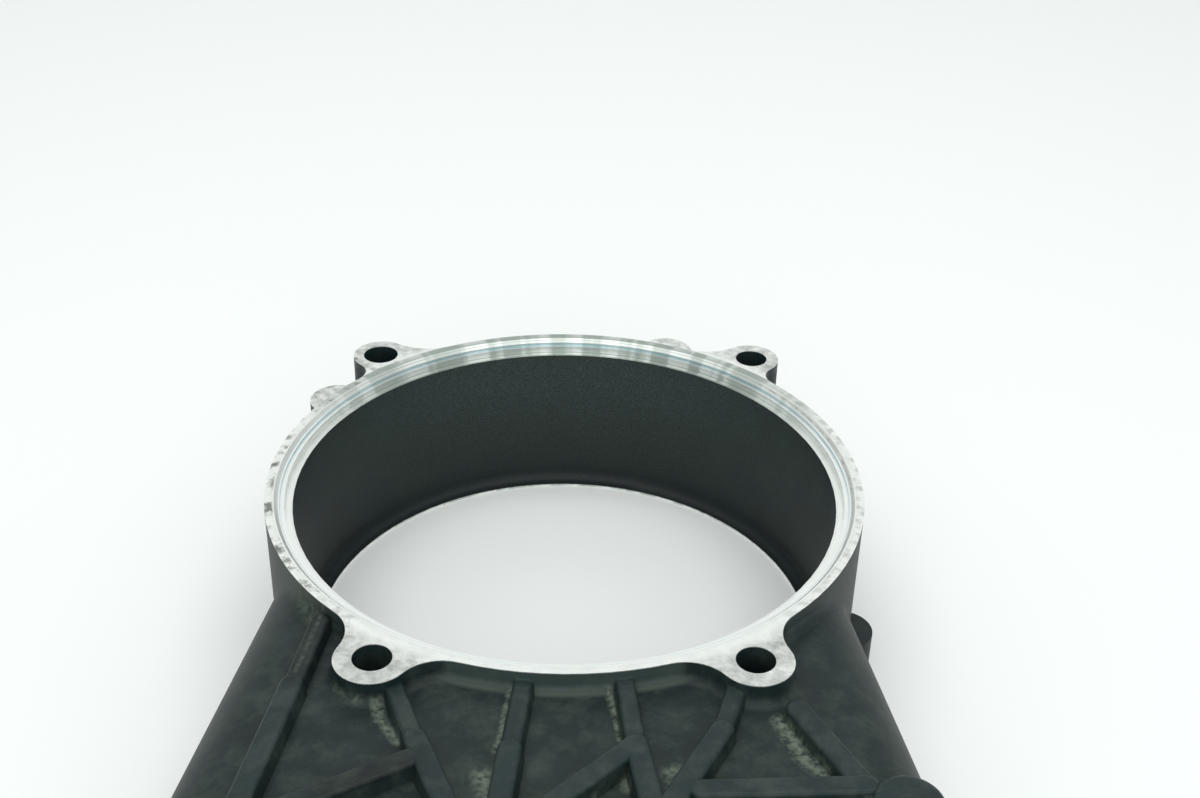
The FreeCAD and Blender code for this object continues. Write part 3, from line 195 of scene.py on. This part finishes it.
# dust and old oil, caught along the feet of the ribs and of the ring, mostly on their left;
# each mark has its start, its end and half its width
floor_marks = [
    ((-47.8, -87.4), (-45.0, -97.9), 2.2), ((-45.0, -97.9), (-40.1, -105.9), 1.8),
    ((-55.8, -87.5), (-50.9, -91.1), 2.4), ((-13.4, -85.5), (-15.6, -105.0), 1.3),
    ((-15.6, -105.0), (-16.7, -108.8), 1.2), ((11.2, -87.6), (12.1, -93.5), 1.5),
    ((12.1, -93.5), (13.5, -104.8), 1.1), ((17.2, -110.9), (15.2, -120.4), 2.8),
    ((-33.7, -110.2), (-31.1, -122.9), 2.6), ((-19.0, -117.0), (-17.4, -124.0), 4.0),
    ((3.5, -118.3), (5.5, -124.0), 3.4), ((26.0, -115.8), (28.0, -124.0), 4.0),
    ((53.3, -98.2), (57.0, -110.0), 3.4), ((57.0, -110.0), (61.3, -115.6), 3.4),
]
crest_marks = [
    ((-63.5, -60.1), (-67.2, -85.1), 0.9), ((-76.0, -41.0), (-69.2, -52.7), 3.4),
    ((-72.0, -48.0), (-66.5, -60.0), 3.4),
]
broken = add("MapRange", add("TexNoise", spot, 1 / 1.6, 4.0, 0.6), 0.34, 0.6)
low_floor = add(
    "MULTIPLY",
    add("MapRange", z, floor_level + 3.2, floor_level + 0.5),
    add("MapRange", z, floor_level - 2.5, floor_level - 1.5),
    add("MapRange", y, -80.0, -84.0),
)
floor_dust = add("MULTIPLY", add("MAXIMUM", *[streak(*mark) for mark in floor_marks]), broken)
crest_dust = add("MULTIPLY", add("MAXIMUM", *[streak(*mark) for mark in crest_marks]), broken, 0.36)
ring_foot = add(
    "MULTIPLY", add("MapRange", reach, ring_radius + 2.4, ring_radius + 1.2),
    add("MapRange", reach, ring_radius + 0.2, ring_radius + 0.8), 0.3,
)
film = add("MapRange", add("TexNoise", spot, 1 / 7.0, 6.0, 0.72), 0.46, 0.76)
thin_dust = add("MULTIPLY", film, add("MapRange", y, -45.0, -80.0), 0.19)
foot_dust = add("MULTIPLY", low_floor, add("MAXIMUM", floor_dust, ring_foot))
dust = add("MULTIPLY", add("MAXIMUM", foot_dust, thin_dust, crest_dust), coated)

coat_colour = linear("#182524")
for share, colour in [
    (add("MULTIPLY", add("MapRange", clouds, 0.4, 0.72), 0.8), linear("#253330")),
    (add("MULTIPLY", rib_tops, 0.6), linear("#1a2b2c")),
    (add("MAXIMUM", add("MULTIPLY", low_crest, 0.85), left_diagonal), linear("#0f1a19")),
    (add("MULTIPLY", lit_front_wall, 0.85), linear("#404e4b")),
    (lit_bore_back, speckled_lit_coat),
    (add("MULTIPLY", bore_foot, 0.55), linear("#0f1817")),
    (add("MULTIPLY", dust, 0.65), linear("#7b8878")),
]:
    coat_colour = add("Mix", share, coat_colour, colour, data_type="RGBA")

# bare metal: grey stains on the outer band, mostly at both sides, and on the pads; a brown line on the right
# of the lead-in; a pale blue painted reflection on the upper step's wall; rings left by the turning tool, drawn
# 1.5 mm wide to show; and painted glare at the back: streaks left bright, with painted darker metal between
# them
left_stains = add(
    "MULTIPLY", add("MapRange", x, -45.0, -70.0), add("MapRange", blotches, 0.46, 0.64),
    add("MapRange", clouds, 0.36, 0.52), 0.9,
)
right_stains = add("MULTIPLY", add("MapRange", x, 45.0, 70.0), add("MapRange", blotches, 0.45, 0.65), 0.4)
rim_stains = add("MULTIPLY", add("MapRange", reach, 87.0, 92.0), add("MapRange", patches, 0.25, 0.7), 0.68)
pad_stains = add("MULTIPLY", add("MapRange", patches, 0.3, 0.7), pad_tops, 0.6)
worn = add("MapRange", patches, 0.4, 0.7)
stains = add("MAXIMUM", left_stains, right_stains, rim_stains, pad_stains, add("MULTIPLY", worn, 0.12))
outer_band = add("MULTIPLY", add("MapRange", reach, lead_in_radius, lead_in_radius + 0.5), stains)
brown_line = add(
    "MULTIPLY", between(reach, lead_in_radius - 0.9, lead_in_radius - 0.6),
    add("MapRange", x, 52.0, 66.0), add("MapRange", y, -30.0, -10.0), worn, 0.6,
)
# painted reflection: a pale blue glint on the upper step's wall
upper_step = add(
    "MULTIPLY", between(reach, upper_step_radius - 0.05, upper_step_radius + 0.05), ring_steps, 0.5,
)
back = add("MULTIPLY", add("MapRange", y, 30.0, 65.0), add("MapRange", reach, ring_radius + 0.4, ring_radius))
tool_rings = add("TexNoise", add("MULTIPLY", add("ADD", reach, z), 1 / 1.5), 1.0, 2.0, noise_dimensions="1D")
ring_strength = add("ADD", add("MULTIPLY", back, 0.5), 0.12)
fine_rings = add("MULTIPLY", add("MapRange", tool_rings, 0.48, 0.6), ring_steps, ring_strength)
# painted glare: the back of the face is painted darker except along these streaks, which stay bright
glare = add("TexNoise", add("MULTIPLY", add("ARCTAN2", y, x), 7.0), 1.0, 2.0, 0.6, noise_dimensions="1D")
off_glare = add("MapRange", glare, 0.56, 0.46)
past_lead_in = add("MapRange", reach, lead_in_radius - 0.3, lead_in_radius + 0.1)
shade_between_glare = add("MULTIPLY", back, add("ADD", off_glare, past_lead_in), 0.55)
bare_colour = linear("#f0f4f1")
for share, colour in [
    (outer_band, linear("#787d77")), (fine_rings, linear("#86938a")), (shade_between_glare, linear("#a0aba3")),
    (brown_line, linear("#8d7a50")), (upper_step, linear("#b4d6e4")),
]:
    bare_colour = add("Mix", share, bare_colour, colour, data_type="RGBA")

# relief: the powder's tooth is 0.7 mm wide here, three times the real one, to show in the picture;
# the turned faces have feed lines 0.35 mm apart
feed_lines = add("TexNoise", add("MULTIPLY", reach, 1 / 0.35), 1.0, 2.0, noise_dimensions="1D")
fine_tooth = add("MULTIPLY", add("TexNoise", spot, 1 / 0.7, 2.0), 0.9)
orange_peel = add("MULTIPLY", add("TexNoise", spot, 1 / 4.0, 2.0), 1.4)
tooth = add("ADD", fine_tooth, orange_peel)
relief = add("ADD", add("MULTIPLY", tooth, coated), add("MULTIPLY", feed_lines, bare, 0.25))
coat_roughness = add("ADD", add("MULTIPLY", rib_tops, -0.08), add("MULTIPLY", dust, 0.3), 0.52)
bare_roughness = add(
    "ADD", add("MULTIPLY", outer_band, 0.25), add("MULTIPLY", ring_steps, 0.12),
    add("MULTIPLY", add("ADD", smears, 0.5), 0.32),
)
dress(
    ["cover_casting"],
    Base_Color=add("Mix", bare, coat_colour, bare_colour, data_type="RGBA"),
    Metallic=bare,
    Roughness=add("ADD", add("MULTIPLY", bare, bare_roughness), add("MULTIPLY", coated, coat_roughness)),
    Specular_IOR_Level=0.26,
    Normal=add("Bump", Height=relief, Strength=0.4, Distance=0.12 * MM),
)


# Mainshaft ball bearing, rings and balls.
# They are through-hardened chrome steel, ground bright; grinding leaves fine lines round the rings,
# which the eye sees as a soft streak in the gloss.
open_material("ground bearing steel")
grinding = add("TexNoise", add("MULTIPLY", reach_from(shaft_axis), 1 / 0.3), 1.0, 3.0, noise_dimensions="1D")
handled = add("TexNoise", spot, 1 / 6.0, 3.0)
smudges = add("MULTIPLY", handled, 0.3)
dress(
    ["bearing_outer_ring", "bearing_inner_ring", "bearing_balls"],
    Base_Color=add("Mix", smudges, linear("#c9ccce"), linear("#8e9294"), data_type="RGBA"),
    Metallic=1.0,
    Roughness=add("ADD", add("MULTIPLY", handled, 0.15), 0.14),
    Normal=add("Bump", Height=grinding, Strength=0.15, Distance=0.05 * MM),
)


# Ball cage and the case of the oil seal.
# Both are pressed from thin mild steel strip, so they are greyer than the bearing,
# with a dull oily finish and faint mottling from the rolling mill.
open_material("pressed mild steel")
mottle = add("TexNoise", spot, 1 / 2.0, 4.0, 0.6)
dress(
    ["bearing_cage", "seal_case"],
    Base_Color=add("Mix", mottle, linear("#74736f"), linear("#9b9a96"), data_type="RGBA"),
    Metallic=1.0,
    Roughness=add("ADD", add("MULTIPLY", mottle, 0.2), 0.3),
    Normal=add("Bump", Height=mottle, Strength=0.2, Distance=0.05 * MM),
)


# Retaining ring under the bearing and the garter spring of the seal.
# They are spring steel with a dark phosphate skin, dry and slightly patchy.
open_material("phosphated spring steel")
skin = add("TexNoise", spot, 1 / 1.5, 4.0, 0.6)
dress(
    ["bearing_retaining_ring", "seal_spring"],
    Base_Color=add("Mix", skin, linear("#2b2b2d"), linear("#4a4a4c"), data_type="RGBA"),
    Metallic=0.8,
    Roughness=add("ADD", add("MULTIPLY", skin, 0.2), 0.4),
)


# Lip of the oil seal.
# It is nitrile rubber moulded on the case: matt black, with the faint bloom that old rubber has.
open_material("moulded nitrile rubber")
bloom = add("TexNoise", spot, 1 / 3.0, 4.0, 0.6)
dress(
    ["seal_lip"],
    Base_Color=add("Mix", bloom, linear("#141414"), linear("#2a2a29"), data_type="RGBA"),
    Roughness=add("ADD", add("MULTIPLY", bloom, 0.15), 0.6),
)


# Bushing of the starter shaft.
# It is pressed and sintered from bronze powder and soaked in oil, so its brown skin is finely pitted.
open_material("sintered bronze")
pores = add("TexNoise", spot, 1 / 0.8, 3.0, 0.7)
dress(
    ["starter_shaft_bushing"],
    Base_Color=add("Mix", pores, linear("#6d4a26"), linear("#b98b52"), data_type="RGBA"),
    Metallic=1.0,
    Roughness=add("ADD", add("MULTIPLY", pores, 0.25), 0.3),
    Normal=add("Bump", Height=pores, Strength=0.25, Distance=0.05 * MM),
)


# Floor and light of the studio.
# A white table stands in a white room. A broad soft lamp hangs above the cover and pale panels stand
# round it: the back one gives the ring its glare, the others fill the walls and the shadows.
table_mesh = bpy.data.meshes.new("white_table")
span = 3.0
corners = [(-span, -span), (span, -span), (span, span), (-span, span)]
table_mesh.from_pydata([(across, along, box_low.z) for across, along in corners], [], [(0, 1, 2, 3)])
table = bpy.data.objects.new("white_table", table_mesh)
bpy.context.scene.collection.objects.link(table)
open_material("white painted table")
feed(shader.inputs["Base Color"], linear("#f1f5f3"))
feed(shader.inputs["Roughness"], 0.5)
table_mesh.materials.append(material)

world = bpy.data.worlds.new("white studio")
world.use_nodes = True
background = world.node_tree.nodes["Background"]
feed(background.inputs["Color"], linear("#f9fdfc"))
feed(background.inputs["Strength"], 0.40)
bpy.context.scene.world = world
bpy.context.scene.view_settings.view_transform = "Standard"

# each lamp has its name, width and height in metres, power in watts and place; it faces the ring
for name, width, height, power, position in [
    ("overhead_softbox", 1.9, 1.5, 17.0, (0.0, -0.15, 1.5)),
    ("back_panel", 1.8, 0.9, 4.2, (0.0, 1.6, 1.15)),
    ("low_back_panel", 4.0, 0.5, 2.8, (0.0, 1.7, 0.3)),
    ("left_panel", 1.2, 1.0, 1.8, (-1.5, 0.3, 0.8)),
    ("right_panel", 1.2, 1.0, 1.8, (1.5, 0.3, 0.8)),
    ("front_panel", 2.2, 1.0, 12.0, (0.1, -1.5, 0.7)),
]:
    lamp = bpy.data.lights.new(name, "AREA")
    lamp.shape = "RECTANGLE"
    lamp.size, lamp.size_y = width, height
    lamp.energy = power
    holder = bpy.data.objects.new(name, lamp)
    holder.location = position
    holder.rotation_euler = (-Vector(position)).to_track_quat("-Z", "Y").to_euler()
    bpy.context.scene.collection.objects.link(holder)


# Camera of the photograph.
# Its place, angles and lens come from the fit to the ring's ellipses and the lug holes.
# It looks down over the front of the ring into the bore, with everything in focus.
yaw, pitch, roll = math.radians(1.57), math.radians(31.04), math.radians(1.39)
eye = Vector((-1.1, -390.0, 265.7)) * MM
lens_pixels, picture_pixels, sensor_width = 1584, 1200, 36.0
forward = Vector((math.sin(yaw) * math.cos(pitch), math.cos(yaw) * math.cos(pitch), -math.sin(pitch)))
level = Vector((math.cos(yaw), -math.sin(yaw), 0.0))
upward = level.cross(forward)
right = level * math.cos(roll) + upward * math.sin(roll)
upward = upward * math.cos(roll) - level * math.sin(roll)
lens = bpy.data.cameras.new("photo_camera")
lens.sensor_width = sensor_width
lens.lens = sensor_width * lens_pixels / picture_pixels
camera = bpy.data.objects.new("photo_camera", lens)
camera.matrix_world = Matrix.Translation(eye) @ Matrix((right, upward, -forward)).transposed().to_4x4()
bpy.context.scene.collection.objects.link(camera)
bpy.context.scene.camera = camera
